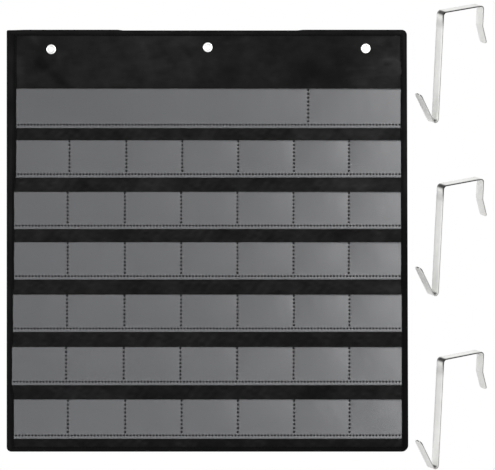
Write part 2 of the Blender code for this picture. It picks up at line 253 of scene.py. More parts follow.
def cloth_material():
    """Black plain weave, a little uneven in tone. The attribute that scales its colour holds how pale each
    place is: painted sheen, painted fold shade and random patches.
    """
    material, tree, shader = start_material("black_woven_cloth", grey(0.012), 0.8, specular=0.08)
    lay = coordinates(tree, attribute="lay")
    patches = noise(tree, lay, 24.0, 3.0, 0.55)
    streaks = noise(tree, coordinates(tree, (40, 120, 1), "lay"), 1.0, 3.0, 0.6)
    mixed = weighed(tree, patches, 0.65, streaks, 0.35)
    colour = tones(tree, mixed, grey(0.0041), grey(0.0088), 0.36, 0.64)
    # The cloth's colour is scaled by its painted sheen, painted shade and random patches
    feed(tree, scaled(tree, colour, attribute_value(tree, "wear_and_painted_light")), shader, "Base Color")
    feed(tree, spread(tree, patches, 0.85, 0.60), shader, "Roughness")
    warp, weft = bands(tree, lay, "X", 520.0), bands(tree, lay, "Y", 520.0)
    slubs = noise(tree, lay, 900.0)
    weave = weighed(tree, combine(tree, "MULTIPLY", warp, weft), 1.0, slubs, 0.5)
    relief(tree, shader, weave, 0.35, 0.00018)
    return material


def tape_material():
    """Black ribbed tape: fine ribs across it, with a painted highlight along its crown and painted shade at
    both edges.
    """
    material, tree, shader = start_material("black_ribbed_tape", grey(0.006), 0.75, specular=0.06)
    ribs = bands(tree, coordinates(tree, attribute="lay"), "X", 330.0, Distortion=0.6)
    worn = noise(tree, coordinates(tree, (30, 240, 1), "lay"), 1.0, 4.0, 0.6)
    mixed = weighed(tree, ribs, 0.25, worn, 0.75)
    colour = tones(tree, mixed, (0.0018, 0.0018, 0.0019), (0.0062, 0.0061, 0.0062), 0.35, 0.70)
    feed(tree, scaled(tree, colour, attribute_value(tree, "wear_and_painted_light")), shader, "Base Color")
    relief(tree, shader, ribs, 0.6, 0.00020)
    return material


def film_material():
    """Hazy clear film over black. The pucker attribute is high beside the seams, where the thread draws the
    film in, and the tone one scales its colour: each row's painted light that evens out the lamps, a painted
    highlight above the seam, and a paler hem."""
    material, tree, shader = start_material(
        "clear_grey_film", (0.20, 0.203, 0.21), 0.28, specular=0.55, alpha=0.42
    )
    haze = noise(tree, coordinates(tree), 9.0)
    colour = tones(tree, haze, (0.194, 0.198, 0.207), (0.209, 0.213, 0.223))
    feed(tree, scaled(tree, colour, attribute_value(tree, "tone")), shader, "Base Color")
    feed(tree, spread(tree, haze, 0.26, 0.30), shader, "Roughness")
    lines = bands(tree, coordinates(tree, (0.75, 1, 1)), "DIAGONAL", 55.0, Distortion=1.5, Detail=1.0)
    near = attribute_value(tree, "pucker")
    relief(tree, shader, combine(tree, "MULTIPLY", near, lines), 0.2, 0.00016)
    return material


def film_edge_material():
    """The cut edge of the film, where it is paler because light gathers there."""
    material, tree, shader = start_material("film_cut_edge", (0.30, 0.31, 0.32), 0.3, alpha=0.85)
    nicks = noise(tree, coordinates(tree, (60, 60, 600)))
    feed(tree, tones(tree, nicks, (0.24, 0.25, 0.26), (0.36, 0.37, 0.38)), shader, "Base Color")
    return material


def thread_material():
    material, tree, shader = start_material("black_thread", (0.006, 0.006, 0.0065), 0.7, specular=0.12)
    place = coordinates(tree)
    twist = bands(tree, place, "DIAGONAL", 700.0)
    colour = tones(tree, noise(tree, place, 1500.0), (0.004, 0.004, 0.0045), (0.010, 0.010, 0.0105))
    feed(tree, colour, shader, "Base Color")
    relief(tree, shader, twist, 0.6, 0.00012)
    return material


def metal_material(name, dark, light, metallic, rough, scratch_scale, tone):
    """Plated metal with drawn lines and a slightly cloudy gloss. The tone attribute scales its colour; on the
    eyelets and hooks it holds painted shade, painted highlights and painted reflections.
    """
    material, tree, shader = start_material(name, light, rough[0], metallic)
    drawn = noise(tree, coordinates(tree, scratch_scale), 1.0, 4.0, 0.65)
    colour = tones(tree, noise(tree, coordinates(tree), 60.0, 3.0), dark, light)
    feed(tree, scaled(tree, colour, attribute_value(tree, tone)), shader, "Base Color")
    feed(tree, spread(tree, drawn, *rough), shader, "Roughness")
    relief(tree, shader, drawn, 0.12, 0.00008)
    return material


# Building


def place_in_scene(name, data):
    obj = bpy.data.objects.new(name, data)
    bpy.context.scene.collection.objects.link(obj)
    return obj


def build(name, points, faces, materials, body, nodes):
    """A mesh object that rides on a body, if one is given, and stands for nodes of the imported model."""
    mesh = bpy.data.meshes.new(name)
    mesh.from_pydata([tuple(p) for p in points], [], [tuple(int(i) for i in face) for face in faces])
    mesh.validate()
    for material in materials:
        mesh.materials.append(material)
    mesh.polygons.foreach_set("use_smooth", [True] * len(mesh.polygons))
    obj = place_in_scene(name, mesh)
    if body:
        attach(obj, body)
    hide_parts(*nodes)
    return obj


def edit(obj, change):
    """Let a function change the faces of an object's mesh."""
    shape = bmesh.new()
    shape.from_mesh(obj.data)
    change(shape)
    shape.to_mesh(obj.data)
    shape.free()


def close_outwards(shape):
    bmesh.ops.recalc_face_normals(shape, faces=shape.faces)


def bend_at_fold(obj):
    """Bake the world transform of a piece that passes the fold into its mesh; it rides on neither half of the
    chart.
    """
    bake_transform(obj)


def keep(obj, name, values, kind="FLOAT"):
    """Store one value for each vertex, for the material to read."""
    attribute = obj.data.attributes.new(name, kind, "POINT")
    field = "vector" if kind == "FLOAT_VECTOR" else "value"
    attribute.data.foreach_set(field, np.asarray(values, np.float32).ravel())


def apply_modifiers(obj):
    depsgraph = bpy.context.evaluated_depsgraph_get()
    mesh = bpy.data.meshes.new_from_object(obj.evaluated_get(depsgraph))
    obj.modifiers.clear()
    obj.data = mesh


def thicken(obj, thickness, rim_material=0):
    """Give a sheet its thickness, behind its front face."""
    body = obj.modifiers.new("thickness", "SOLIDIFY")
    body.thickness = thickness
    body.offset = -1
    body.material_offset_rim = rim_material
    apply_modifiers(obj)


def grid_faces(columns, lines, closed=False):
    """Quads over a grid of points that is listed line by line."""
    across = np.arange(columns if closed else columns - 1)
    first = (np.arange(lines - 1)[:, None] * columns + across).ravel()
    step = (np.arange(lines - 1)[:, None] * columns + (across + 1) % columns).ravel()
    return np.stack([first, step, step + columns, first + columns], -1)


def waves(x, z, height, length_x, length_z, count, seed):
    """A smooth random surface, mostly within its height, with waves of about these lengths."""
    rng = np.random.default_rng(seed)
    total = 0.0
    for _ in range(count):
        along_x, along_z = rng.normal(0, 1 / length_x), rng.normal(0, 1 / length_z)
        total = total + np.sin(math.tau * (along_x * x + along_z * z) + rng.uniform(0, math.tau))
    return height * total / math.sqrt(2 * count)


def smooth_step(value):
    value = np.clip(value, 0.0, 1.0)
    return value * value * (3 - 2 * value)


def hump(offset, half_width):
    """1 in the middle, and nearly 0 from twice the half-width on."""
    return np.exp(-((offset / half_width) ** 2))


def ridge(x, z, start_x, start_z, end_x, end_z, width, height):
    """A soft fold along a line, positive towards the viewer, that fades out at both ends."""
    line_x, line_z = end_x - start_x, end_z - start_z
    along = ((x - start_x) * line_x + (z - start_z) * line_z) / (line_x**2 + line_z**2)
    nearest = np.clip(along, 0, 1)
    return height * hump(np.hypot(x - start_x - nearest * line_x, z - start_z - nearest * line_z), width)


# Cloth

# Soft folds that run down from each eyelet: their depth, half-width, reach, slopes and strengths
header_fold_depth = 0.0026
header_fold_width = 0.017
header_fold_start = 0.022
header_fold_end = 0.075
header_flat_edge = 0.0130
header_edge_ramp = 0.010
header_fold_slopes = ((-1.9, 0.7), (-0.45, 1.0), (0.6, -0.8), (2.2, 0.6))

# How far in from the left, the right, the top and the films the header's creases reach their full height
crease_rooms = (0.016, 0.012, 0.012, 0.003)

# Random waves: height, length across, length down, how many, and their seed
header_waves = ((0.00045, 0.035, 0.022, 14, 3), (0.00014, 0.010, 0.006, 14, 4))

# The cloth is flat under an eyelet, and pressed in just outside it
eyelet_flat_radius, eyelet_flat_ramp = 0.0078, 0.006
dimple_radius, dimple_width, dimple_depth = 0.0085, 0.0022, 0.0003

# Single folds in the header, in millimetres: x and z of the start and the end, half-width and height
mm = 0.001
header_ridges = (
    (-285.2, -12, -285, -58, 1.3, 0.7), (-281.2, -16, -281.6, -60, 1.4, 0.8),
    (-277.2, -20, -278, -56, 1.5, 0.5), (-226.5, -4, -220, -26, 4, 1.2),
    (-262, 14, -254, 5, 4.2, 1), (-253, -22, -204, -64, 6, -1.4),
    (-266, -50, -230, -30, 6, 1), (-251, 2, -250, -22, 6, -0.9),
    (-115, 15, -95, 11, 5, 0.8), (-98, 4, -87, -22, 5, 0.8),
    (-90, -34, -56, -28, 4, 0.9), (-42, 8, -25, -12, 4.5, -0.6),
    (25, 6, 60, 12, 5, 0.8), (75, -22, 95, -44, 6, 0.9),
    (118, -22, 202, -52, 18, -1.1), (222, 4, 282, 14, 6, 1.2),
    (270, -12, 289, -36, 6, 1.2), (210, -34, 288, -26, 2.4, 0.5),
    (208, -46, 288, -40, 2.4, 0.6), (216, -57, 288, -52, 2.4, 0.5),
    (264, -18.5, 276, -16, 2.4, 1.2), (279, -15, 288, -23, 2.2, 1.4),
    (265, -27, 276, -25, 2, -1.2), (286.5, 10, 286.8, -30, 1.6, 1),
    (256, 6, 270, 0, 3, 1),
)


def header_creases(x, z):
    return sum(ridge(x, z, *[mm * value for value in crease]) for crease in header_ridges)


def header_depth(x, z):
    """How far the header cloth stands forward in its soft folds below the eyelets."""
    edges = np.minimum.reduce([
        x - (films[0][0].x - side_gap) - header_flat_edge,
        inner_right - header_flat_edge - x,
        inner_top - header_flat_edge - z,
        z - film_top,
    ])
    inside = np.clip(edges / header_edge_ramp, 0, 1)
    rise = np.zeros(x.shape)
    for eyelet_x, eyelet_z in eyelets.values():
        across, down = x - eyelet_x, eyelet_z - z
        distance = np.hypot(across, down)
        growth = np.clip((distance - header_fold_start) / header_fold_start, 0, 1) * (down > 0)
        fade = np.clip(1 - (distance - header_fold_start) / header_fold_end, 0, 1)
        for slope, strength in header_fold_slopes:
            off_line = (across - slope * down) / math.hypot(1, slope)
            rise += strength * growth * fade * hump(off_line, header_fold_width)
    depth = rise * inside * header_fold_depth
    distances = (x - chart_left, chart_right - x, chart_top - z, z - film_top)
    room = smooth_step(np.minimum.reduce([far / ramp for far, ramp in zip(distances, crease_rooms)]))
    depth += room * header_creases(x, z)
    depth += room * sum(waves(x, z, *wave) for wave in header_waves)
    dimple = np.zeros(x.shape)
    for eyelet_x, eyelet_z in eyelets.values():
        distance = np.hypot(x - eyelet_x, z - eyelet_z)
        depth *= smooth_step((distance - eyelet_flat_radius) / eyelet_flat_ramp)
        dimple -= dimple_depth * hump(distance - dimple_radius, dimple_width)
    return depth + dimple


# Between the rows: the first row's seed and random waves, and a pucker at the end of each seam
gap_waves = ((20, 0.00040, 0.070, 0.0075, 16), (40, 0.0002, 0.020, 0.006, 12))
gap_ramp = 0.003
gap_pucker_heights, gap_pucker_leans, gap_pucker_width = (-0.0005, 0.0007), (-0.2, 0.2), 0.0028
gap_pucker_seed = 11


def gap_depth(x, z):
    """Level streaks in the strips of cloth between the rows, and short upright puckers at the seams."""
    depth = np.zeros(x.shape)
    rng = np.random.default_rng(gap_pucker_seed)
    for row in range(rows):
        top = films[row][0].z
        bottom = films[row + 1][1].z if row + 1 < rows else inner_bottom
        room = smooth_step((top - z) / gap_ramp) * smooth_step((z - bottom) / gap_ramp)
        streaks = sum(waves(x, z, *wave, seed + row) for seed, *wave in gap_waves)
        puckers = np.zeros(x.shape)
        seams = row_seams(row) + (row_seams(row + 1) if row + 1 < rows else [])
        for seam in seams:
            height, lean = rng.uniform(*gap_pucker_heights), rng.uniform(*gap_pucker_leans)
            puckers += height * hump(x - seam - lean * (z - top), gap_pucker_width)
        depth += room * (streaks + puckers)
    return depth


# The thread draws the cloth forward, against the film
seam_pull_width, seam_pull_depth, seam_pull_ramp = 0.0016, 0.00012, 0.002
least_seam_pull = 0.05


def seam_pull(x, z):
    """1 on a seam and 0 away from it."""
    pull = np.zeros(x.shape)
    for row in range(rows):
        low, high = films[row]
        seam_z = low.z + film_margin
        inside = (x > low.x) & (x < high.x)
        pull += inside * hump(z - seam_z, seam_pull_width)
        above_low, below_high = z - low.z + seam_pull_ramp, high.z + seam_pull_ramp - z
        beside = smooth_step(above_low / seam_pull_ramp) * smooth_step(below_high / seam_pull_ramp)
        for seam in row_seams(row):
            pull = np.maximum(pull, beside * hump(x - seam, seam_pull_width))
    return pull


cloth_columns, header_lines, row_lines = 301, 61, 131
least_line_gap = 0.0007


def thinned(values, fixed):
    """Drop the grid lines that lie too close to the one before, but none of the fixed ones."""
    kept = []
    for value in sorted(values):
        if kept and value - kept[-1] < least_line_gap:
            if value in fixed:
                kept[-1] = value
            continue
        kept.append(value)
    return np.array(kept)


def cloth_lines():
    """Grid lines across and down the cloth, closer together in the header and at each seam."""
    header_zs = np.linspace(film_top, cloth_high.z, header_lines)
    row_zs = np.linspace(cloth_low.z, film_top, row_lines)
    seams = {low.z + film_margin for low, _ in films}
    beside = {seam + side * seam_pull_width for seam in seams for side in (-1, 1)}
    uprights = {seam for row in range(rows) for seam in row_seams(row)}
    xs = {*np.linspace(cloth_low.x, cloth_high.x, cloth_columns), *uprights}
    return thinned(xs, uprights), thinned({*header_zs, *row_zs, *seams, *beside}, seams)


# Painted sheen (above zero) and painted shade (below zero) on the cloth: middle, half-width and half-height
# in mm, and strength
cloth_sheen_and_shade = (
    (-72, -12, 70, 50, 0.6), (-170, -20, 60, 70, 0.28), (-32, -28, 16, 32, 0.35),
    (25, -40, 14, 20, -0.2), (272, -18, 30, 42, 1.25), (238, -56, 34, 14, 0.6),
    (-281.5, -37, 8, 26, 0.55), (-221.5, -11, 8, 10, 0.7), (-35, 11, 28, 7, 0.45),
    (108, -22, 16, 16, 0.3), (37, -37, 19, 19, -0.25), (-245, -29, 14, 12, -0.25),
    (150, -30, 30, 40, -0.05), (235, -130, 90, 10, 1.2), (230, -206, 90, 10, 1.3),
    (-80, -206, 24, 10, 1.2), (-245, -206, 24, 10, 0.7), (5, -130, 22, 10, 0.5),
    (272, -360, 34, 10, 1.3), (-170, -360, 22, 10, 0.5), (135, -439, 80, 12, -0.6),
    (160, -520, 30, 12, -0.5), (-80, -520, 26, 12, -0.5), (0, -598, 360, 12, -0.45),
)


# Painted sheen on the crest of a crease and painted shade in its hollow: how much paler the cloth is, for
# each metre of height
crest_sheen_and_shade = 450.0

# Random soft patches: strength, length across, length down, how many, and their seed
gap_patches = (0.50, 0.022, 0.0070, 16, 8)
cloth_patches = (0.12, 0.030, 0.022, 16, 7)
least_sheen_and_shade = 0.4


def sheen_and_shade_at(x, z):
    """How pale the cloth is, with painted sheen and painted shade on its folds. Below the header it has
    patches of its own.
    """
    total = np.ones(x.shape)
    for *place, strength in cloth_sheen_and_shade:
        mid_x, mid_z, half_x, half_z = [mm * value for value in place]
        total += strength * hump(x - mid_x, half_x) * hump(z - mid_z, half_z)
    total += crest_sheen_and_shade * header_creases(x, z)
    total += np.where(z < film_top, waves(x, z, *gap_patches), 0.0)
    return np.maximum(total, least_sheen_and_shade) * (1 + waves(x, z, *cloth_patches))


def make_cloth(material):
    xs, zs = cloth_lines()
    x, z = np.meshgrid(xs, zs)
    x = x + right_lean(x, z)
    y = cloth_front - header_depth(x, z) * (z > film_top) - gap_depth(x, z)
    pull = seam_pull(x, z)
    y -= np.where(pull > least_seam_pull, seam_pull_depth * pull, 0.0)
    points = np.stack([x, y, z], -1).reshape(-1, 3)
    faces, nodes = grid_faces(len(xs), len(zs)), ("backing_upper", "backing_lower")
    obj = build("cloth_backing", points, faces, [material], None, nodes)
    edit(obj, cut_eyelet_holes)
    thicken(obj, cloth_thickness)
    rest = np.array([v.co for v in obj.data.vertices])
    keep(obj, "lay", rest[:, (0, 2, 1)], "FLOAT_VECTOR")
    # Painted sheen and painted shade, with random patches
    keep(obj, "wear_and_painted_light", sheen_and_shade_at(rest[:, 0], rest[:, 2]))
    bend_at_fold(obj)


hole_radius = 0.0053


def cut_eyelet_holes(shape):
    """Take out the faces in each hole and draw what is left of its edge to a circle under the flange."""

    def in_a_hole(face):
        return any(
            math.hypot(v.co.x - x, v.co.z - z) < hole_radius for x, z in eyelets.values() for v in face.verts
        )

    bmesh.ops.delete(shape, geom=[face for face in shape.faces if in_a_hole(face)], context="FACES")
    for vertex in shape.verts:
        if not vertex.is_boundary:
            continue
        for x, z in eyelets.values():
            offset = Vector((vertex.co.x - x, vertex.co.z - z))
            if offset.length < 3 * hole_radius:
                offset = offset.normalized() * hole_radius
                vertex.co.x, vertex.co.z = x + offset.x, z + offset.y


# Tapes


def tape_width(side, place):
    """How wide a tape is at a place along it. The left one follows the ends of the films."""
    if side == "left":
        heights, edges = [], []
        for low, high in reversed(films):
            heights += [low.z, high.z]
            edges += [low.x - side_gap, low.x - side_gap]
        return float(np.interp(place, heights, edges)) - chart_left
    return {
        "right": chart_right - inner_right,
        "top": chart_top - inner_top,
        "bottom": inner_bottom - chart_bottom,
    }[side]


# The sides clockwise with the seeds of their inner edges, and the random waves there
side_seeds = {"top": 61, "right": 62, "bottom": 63, "left": 64}
inner_edge_waves = ((0.00025, 0.060, 1.0, 8), (0.00010, 0.012, 1.0, 8))


def waver(side, place):
    """The tape's inner edge isn't quite straight."""
    return sum(float(waves(place, 0.0, *wave, side_seeds[side])) for wave in inner_edge_waves)


# Where the top edge sags, and how long each end of the sag takes
sag_depth, sag_left, sag_right, sag_left_ramp, sag_right_ramp = 0.0010, -0.1360, 0.1450, 0.010, 0.012
corner_sag_depth, corner_sag_end, corner_sag_ramp = 0.0006, -0.272, 0.024


def top_dip(x):
    """The top edge sags between the outer eyelets, and a little at its left end."""
    middle = smooth_step((x - sag_left) / sag_left_ramp) * smooth_step((sag_right - x) / sag_right_ramp)
    corner = smooth_step((corner_sag_end - x) / corner_sag_ramp)
    return -sag_depth * float(middle) - corner_sag_depth * float(corner)


# A tape's random waves, and the pull of each stitch
tape_waves = (0.00016, 0.030, 1.0, 10, 71)
stitch_pull, stitch_pull_pitch = 0.00012, 0.0048


def tape_lift(place, across):
    """Small rises and hollows in a tape, most at its inner edge."""
    pull = stitch_pull * math.cos(math.tau * place / stitch_pull_pitch)
    return across * (float(waves(place, 0.0, *tape_waves)) - pull)


# The corners clockwise, the one before the top side first: x, z, the way in, and the first angle
outline_corners = {
    "top_left": (chart_left, chart_top, 1, -1, math.pi),
    "top_right": (chart_right, chart_top, -1, -1, 0.5 * math.pi),
    "bottom_right": (chart_right, chart_bottom, -1, 1, 0.0),
    "bottom_left": (chart_left, chart_bottom, 1, 1, -0.5 * math.pi),
}
outline_step = 0.0024
corner_steps = 8


def corner_point(corner, turn):
    """A point of a rounded corner. Turn goes from 0 to 1."""
    x, z, inward_x, inward_z, first_angle = outline_corners[corner]
    radius = corner_radii[corner]
    angle = first_angle - 0.5 * math.pi * turn
    return x + radius * (inward_x + math.cos(angle)), z + radius * (inward_z + math.sin(angle))


def outline_stations():
    """Points round the chart's outline, clockwise from the top left corner: side, x and z."""
    stations = []
    corners, runs = list(outline_corners), list(side_seeds)
    for index, (corner, side) in enumerate(zip(corners, runs)):
        for turn in range(corner_steps + 1):
            turn_side = runs[index - 1] if turn < corner_steps / 2 else side
            stations.append((turn_side, *corner_point(corner, turn / corner_steps)))
        begin, end = stations[-1][1:], corner_point(corners[(index + 1) % len(corners)], 0)
        count = int(math.dist(begin, end) / outline_step)
        for part in range(1, count):
            stations.append((side, *[a + (b - a) * (part / count) for a, b in zip(begin, end)]))
    return stations


top_tape_slip = 0.0008


def inner_point(x, z):
    """The point of the tape's inner edge that is nearest to a point of the outline."""
    near_z = min(max(z, inner_bottom), inner_top)
    left = chart_left + tape_width("left", near_z)
    near_x = min(max(x, left), inner_right)
    shift_x = shift_z = 0.0
    if near_x == left:
        shift_x = waver("left", near_z)
    if near_x == inner_right:
        shift_x = waver("right", near_z) + float(right_tape_slip(near_z))
    if near_z == inner_top:
        shift_z = waver("top", near_x) - top_tape_slip
    if near_z == inner_bottom:
        shift_z = waver("bottom", near_x)
    return near_x + shift_x, near_z + shift_z


# The tape's inner edge as inset, drop and share of the waves, and its crown as shares of all three
tape_lip = cloth_thickness / 2 + seat_gap / 3
tape_edge = ((0.0, tape_half - tape_lip, 0.0), (0.00015, 0.00020, 0.6), (0.00045, 0.0, 1.0))
tape_crown = 0.00010
tape_crown_shares = ((0.78, 1.0, 0.9), (0.62, 0.6, 0.6), (0.48, 0.4, 0.4), (0.34, 0.0, 0.2))
tape_fold_points = 9


def tape_section(width):
    """The tape's section from its front edge round the fold to its back edge: distance in from the outline,
    y, and how much of the waves it takes."""
    front = [(width - inset, drop - tape_half, take) for inset, drop, take in tape_edge]
    front += [
        (width * share, -tape_half - tape_crown * rise, take) for share, rise, take in tape_crown_shares
    ]
    fold_turn = [
        (tape_half * (1 - math.cos(angle)), tape_half * math.sin(angle), 0.0)
        for angle in np.linspace(-0.5 * math.pi, 0.5 * math.pi, tape_fold_points)
    ]
    back = [(distance, -y, take) for distance, y, take in reversed(front)]
    return front + fold_turn + back


# Painted light across the tape from its fold to its inner edge: painted shade at the fold and the inner edge,
# and a painted highlight along the crown
tape_painted_light_shares = (0.0, 0.10, 0.25, 0.55, 0.70, 0.90, 1.0)
tape_painted_light = (0.6, 0.8, 1.7, 1.6, 0.8, 0.4, 0.4)

# How pale each tape is on the whole, at its start and at its end, clockwise from the top left corner
tape_tones = {"top": (1.1, 1.1), "right": (1.1, 0.35), "bottom": (0.40, 0.55), "left": (0.80, 0.98)}
tape_tone_turn, tape_tone_ramp = 0.35, 0.20
tape_patches = (0.30, 0.060, 1.0, 12, 81)
tape_nodes = {
    "top": ("binding_top",),
    "bottom": ("binding_bottom",),
    "left": ("binding_left_upper", "binding_left_lower"),
    "right": ("binding_right_upper", "binding_right_lower"),
}


def run_of_side(stations, side):
    """One side's stations, and the next side's first one, so that two tapes meet in a mitre."""
    count = len(stations)
    index = next(i for i in range(count) if stations[i][0] == side and stations[i - 1][0] != side)
    run = []
    while stations[index % count][0] == side:
        run.append(stations[index % count])
        index += 1
    return run + [stations[index % count]]


def make_tape(side, nodes, run, material):
    points, lay, wear_and_painted_light, lengths = [], [], [], []
    length, previous = 0.0, None
    for _, x, z in run:
        inner = Vector(inner_point(x, z))
        outer = Vector((x + float(right_lean(x, z)), z + (top_dip(x) if z > inner_top else 0.0)))
        inward, width = (inner - outer).normalized(), (inner - outer).length
        if previous is not None:
            length += (outer - previous).length
        previous = outer
        for distance, y, take in tape_section(width):
            place = outer + inward * distance
            lift = tape_lift(length, take)
            points.append((place.x, y + (lift if y < 0 else -lift), place.y))
            lay.append((length, distance, y))
            # Painted shade at the fold and the inner edge, and a painted highlight along the crown
            wear_and_painted_light.append(float(np.interp(distance / width, tape_painted_light_shares, tape_painted_light)))
            lengths.append(length)
    faces = grid_faces(len(points) // len(run), len(run))
    obj = build(f"edge_tape_{side}", points, faces, [material], None, nodes)
    keep(obj, "lay", lay, "FLOAT_VECTOR")
    lengths = np.array(lengths)
    start_tone, end_tone = tape_tones[side]
    along = smooth_step((lengths / length - tape_tone_turn) / tape_tone_ramp)
    patchy = 1 + waves(lengths, 0.0, *tape_patches)
    keep(obj, "wear_and_painted_light", np.array(wear_and_painted_light) * (start_tone + (end_tone - start_tone) * along) * patchy)
    edit(obj, point_outwards)
    if len(nodes) == 2:
        bend_at_fold(obj)
    else:
        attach(obj, "chart_upper" if side == "top" else "chart_lower")


def point_outwards(shape):
    """Turn the faces so that the front ones face -Y."""
    front = max(shape.faces, key=lambda face: -face.calc_center_median().y * face.calc_area())
    if front.normal.y > 0:
        bmesh.ops.reverse_faces(shape, faces=shape.faces)


# Films


# How far a film reaches under the tapes, and how many grid lines it has
film_tuck = 0.0022
film_columns, hem_lines, film_lines = 300, 4, 20
upright_seam_lines = 0.0012
level_seam_lines = (0.0008, 0.0018)
film_lines_start = 0.0032

# How full each pocket is, how far its fullest place lies off its middle, and the first seed
pocket_fullness, pocket_leans, film_seed = (0.80, 1.0), (-0.08, 0.08), 90

upright_pucker_width, level_pucker_width, level_pucker_share = 0.0075, 0.0045, 0.8

# Random waves in a film, and the first row's seed
film_waves, film_waves_seed = (0.00006, 0.034, 0.050, 12), 120

# The hem's two layers stand forward below the seam, and the thread presses a groove
hem_height, hem_start, hem_ramp = 0.00022, 0.0022, 0.0022
film_groove_depth, film_groove_width = 0.00016, 0.0010

# Each row's tone, which evens out the lamps, a painted highlight in a line above the seam, and the paler hem
# below it
film_row_tones = (0.91, 0.97, 1.0, 1.01, 1.02, 1.07, 1.12)
hem_paleness = 0.12
highlight_line_height, highlight_line_width = 0.0024, 0.0011
pale_hem_start, pale_hem_ramp = 0.0010, 0.0008


def film_grid(row, left, right):
    low, high = films[row]
    seam_z = low.z + film_margin
    uprights = [(seam - upright_seam_lines, seam, seam + upright_seam_lines) for seam in row_seams(row)]
    xs = np.unique(np.concatenate([np.linspace(left, right, film_columns), *uprights]))
    below, beside = np.linspace(low.z, seam_z, hem_lines), [seam_z + step for step in level_seam_lines]
    above = np.linspace(seam_z + film_lines_start, high.z, film_lines)
    return xs, np.unique(np.concatenate([below, beside, above]))


def make_film(row, material, edge_material):
    """A strip that swells forward in each pocket, most at its open top."""
    low, high = films[row]
    left, right = low.x - film_tuck, high.x + film_tuck
    xs, zs = film_grid(row, left, right)
    x, z = np.meshgrid(xs, zs)
    seams, seam_z = row_seams(row), low.z + film_margin
    bounds = [low.x, *seams, high.x]
    rng = np.random.default_rng(film_seed + row)
    swell = np.zeros(x.shape)
    up = np.clip((z - seam_z) / (high.z - seam_z), 0, 1)
    rise = np.where(up < 0.5, 1.4 * up, 0.7 + 0.6 * (up - 0.5))
    for start, end in zip(bounds, bounds[1:]):
        share = np.clip((x - start) / (end - start), 0, 1)
        lean = rng.uniform(*pocket_leans)
        crown = np.sin(math.pi * np.clip(share + lean * share * (1 - share) * 4, 0, 1)) ** 0.8
        swell += film_swell * rng.uniform(*pocket_fullness) * crown * rise
    away = np.min([np.abs(x - seam) for seam in seams], axis=0)
    level_pucker = level_pucker_share * hump(z - seam_z, level_pucker_width)
    pucker = np.maximum(hump(away, upright_pucker_width), level_pucker)
    ripple = waves(x, z, *film_waves, film_waves_seed + row) * rise
    hem = hem_height * smooth_step((seam_z - hem_start - z) / hem_ramp)
    groove = film_groove_depth * hump(z - seam_z, film_groove_width)
    y = film_front - swell - ripple - hem + groove
    # A painted highlight in a line above the seam, and a paler hem below it
    line = hump(z - seam_z - highlight_line_height, highlight_line_width)
    doubled = smooth_step((seam_z - pale_hem_start - z) / pale_hem_ramp)
    tone = film_row_tones[row] * (1 + hem_paleness * line + hem_paleness * doubled)
    points, faces = np.stack([x, y, z], -1).reshape(-1, 3), grid_faces(len(xs), len(zs))
    name, nodes = f"film_strip_{row + 1}", (f"pocket_film_{row + 1}",)
    obj = build(name, points, faces, [material, edge_material], body_of_row(row), nodes)
    keep(obj, "pucker", pucker)
    keep(obj, "tone", tone)
    thicken(obj, film_thickness, 1)


# Thread

# One stitch's rings as place along it, girth and lift, for a length and a half-width of one
stitch_rings = (
    (0.0, 0.50, -0.7), (0.16, 0.92, 0.05), (0.5, 1.0, 0.35), (0.84, 0.92, 0.05), (1.0, 0.50, -0.7)
)
stitch_sides, stitch_flatness = 6, 0.6
# No two stitches are quite alike in direction and length
stitch_turn, stitch_length_shares = 0.05, (0.90, 1.06)


def stitch_shape():
    """A short thread that dives into the material at both ends, as along, across and outwards."""
    points = []
    for share, girth, lift in stitch_rings:
        for side in range(stitch_sides):
            angle = math.tau * side / stitch_sides
            outwards = stitch_flatness * girth * math.sin(angle) + lift
            points.append((share - 0.5, girth * math.cos(angle), outwards))
    faces = grid_faces(stitch_sides, len(stitch_rings), closed=True).tolist()
    last = stitch_sides * (len(stitch_rings) - 1)
    for base in (0, last):
        faces += [[base, base + 1, base + 2, base + 3], [base, base + 3, base + 4, base + 5]]
    return np.array(points), np.array(faces)


def lay_stitches(name, stitches, material, body, nodes):
    """Stitches are (x, y, z, direction in the XZ plane, length, width, outward y)."""
    shape, faces = stitch_shape()
    data = np.array(stitches)
    rng = np.random.default_rng(len(stitches))
    angle = data[:, 3] + rng.normal(0, stitch_turn, len(data))
    length = data[:, 4] * rng.uniform(*stitch_length_shares, len(data))
    half = data[:, 5] / 2
    along = np.stack([np.cos(angle), np.zeros(len(data)), np.sin(angle)], -1)
    out = np.stack([np.zeros(len(data)), data[:, 6], np.zeros(len(data))], -1)
    across = np.cross(out, along)
    points = (
        data[:, None, :3]
        + shape[None, :, 0, None] * (length[:, None] * along)[:, None, :]
        + shape[None, :, 1, None] * (half[:, None] * across)[:, None, :]
        + shape[None, :, 2, None] * (half[:, None] * out)[:, None, :]
    ).reshape(-1, 3)
    every = (faces[None] + (np.arange(len(data)) * len(shape))[:, None, None]).reshape(-1, 4)
    return build(name, points, every, [material], body, nodes)


def run_of_stitches(start, end, y, outward, pitch, width, share, offset=0.5):
    """Stitches from one point to another, at about this pitch. Share is the part of it that shows."""
    start, end = np.array(start), np.array(end)
    line = end - start
    length = math.hypot(*line)
    count = max(1, round(length / pitch))
    angle = math.atan2(line[1], line[0])
    found = []
    for index in range(count):
        x, z = start + line * ((index + offset) / count)
        found.append((x, y, z, angle, length / count * share, width, outward))
    return found


# Pitch, width and share of each kind of stitch. The front stitches are drawn wider than their thread: their
# dark width is partly thread and partly painted shade of the needle holes
level_pitch = 0.0049
level_stitch, upright_stitch = (level_pitch, 0.0027, 0.66), (0.0056, 0.0031, 0.64)
level_back_stitch, upright_back_stitch = (level_pitch, 0.0008, 0.8), (0.0056, 0.0008, 0.8)
hem_stitch = (0.004, 0.0006, 0.5)
back_stitch_offset = 0.95
front_thread = (film_front - 0.00012, -1)
back_thread = (cloth_thickness / 2 + 0.00005, 1)
# How far an upright seam runs above the film, how far over the level seam it stops, and its part on the hem
seam_overrun, seam_stop, hem_seam_start, hem_seam_end = 0.0012, 0.0022, 0.0016, 0.0008


